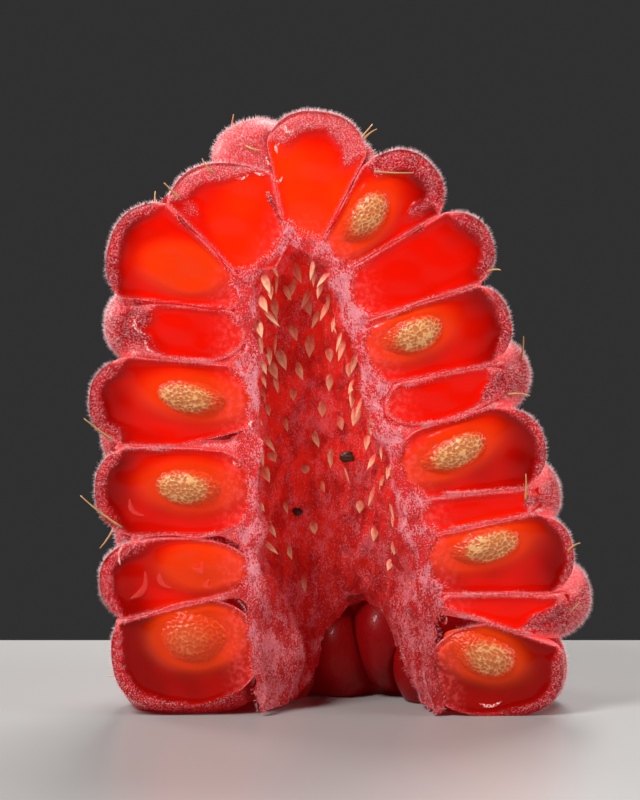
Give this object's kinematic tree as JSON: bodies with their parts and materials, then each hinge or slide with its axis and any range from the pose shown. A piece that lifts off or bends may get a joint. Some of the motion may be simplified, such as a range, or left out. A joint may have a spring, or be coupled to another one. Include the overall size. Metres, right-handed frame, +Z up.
{
  "type": "raspberry half",
  "caption": "Half of a ripe raspberry, cut lengthwise through the hollow, standing on its rim with stones in the cut drupelets.",
  "frame": {"origin": "on the surface that the half stands on, under the middle of the whole piece", "axes": "+Z up the berry from its open rim to its crown, +Y away from the cut face, +X to the right seen from the cut"},
  "size_m": [0.0146, 0.0072, 0.018],
  "materials": {
    "flesh": "wet, translucent red pulp under a thin skin",
    "stone": "hard, netted, damp",
    "scar": "dry, cream",
    "hair": "fine pale down and dry styles"
  },
  "bodies": {
    "root": {"flesh": "flesh", "stone_left_1": "stone", "stone_left_2": "stone", "stone_left_3": "stone", "stone_left_4": "stone", "stone_left_5": "stone", "stone_right_1": "stone", "stone_right_2": "stone", "stone_right_3": "stone", "stone_right_4": "stone", "stone_right_5": "stone"}
  },
  "joints": []
}
